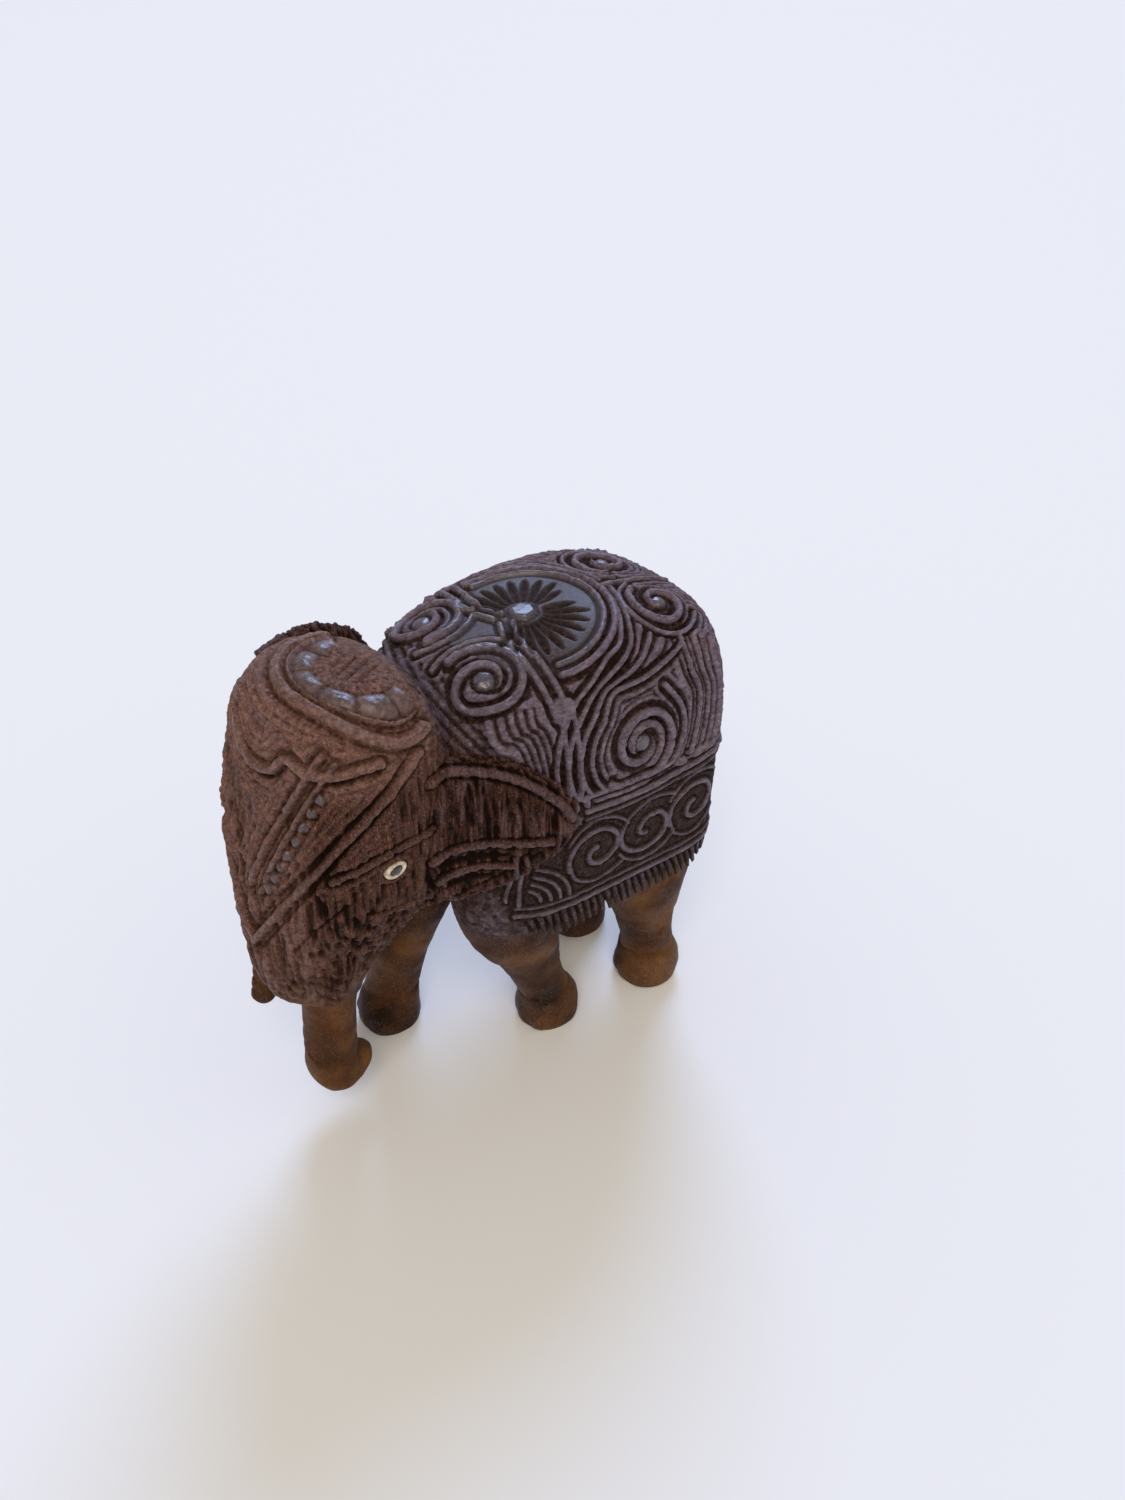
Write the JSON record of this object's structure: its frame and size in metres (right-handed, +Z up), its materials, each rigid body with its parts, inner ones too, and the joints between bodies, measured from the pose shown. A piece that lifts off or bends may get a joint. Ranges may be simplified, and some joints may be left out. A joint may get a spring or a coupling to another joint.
{
  "type": "carved wooden elephant figurine",
  "caption": "Carved hardwood elephant figurine with a scroll-carved blanket, headpiece, spread ears and inlaid eyes.",
  "frame": {"origin": "centre of the footprint box on the resting plane", "axes": "+Z up, the elephant faces -Y, its left side is toward +X"},
  "size_m": [0.085, 0.1394, 0.1418],
  "materials": {
    "rosewood": "hand-carved, waxed",
    "bone": "satin",
    "pupil": "gloss"
  },
  "bodies": {
    "root": {"carved_body": "rosewood", "left_eye_ring": "bone", "right_eye_ring": "bone", "left_pupil": "pupil", "right_pupil": "pupil"}
  },
  "joints": []
}
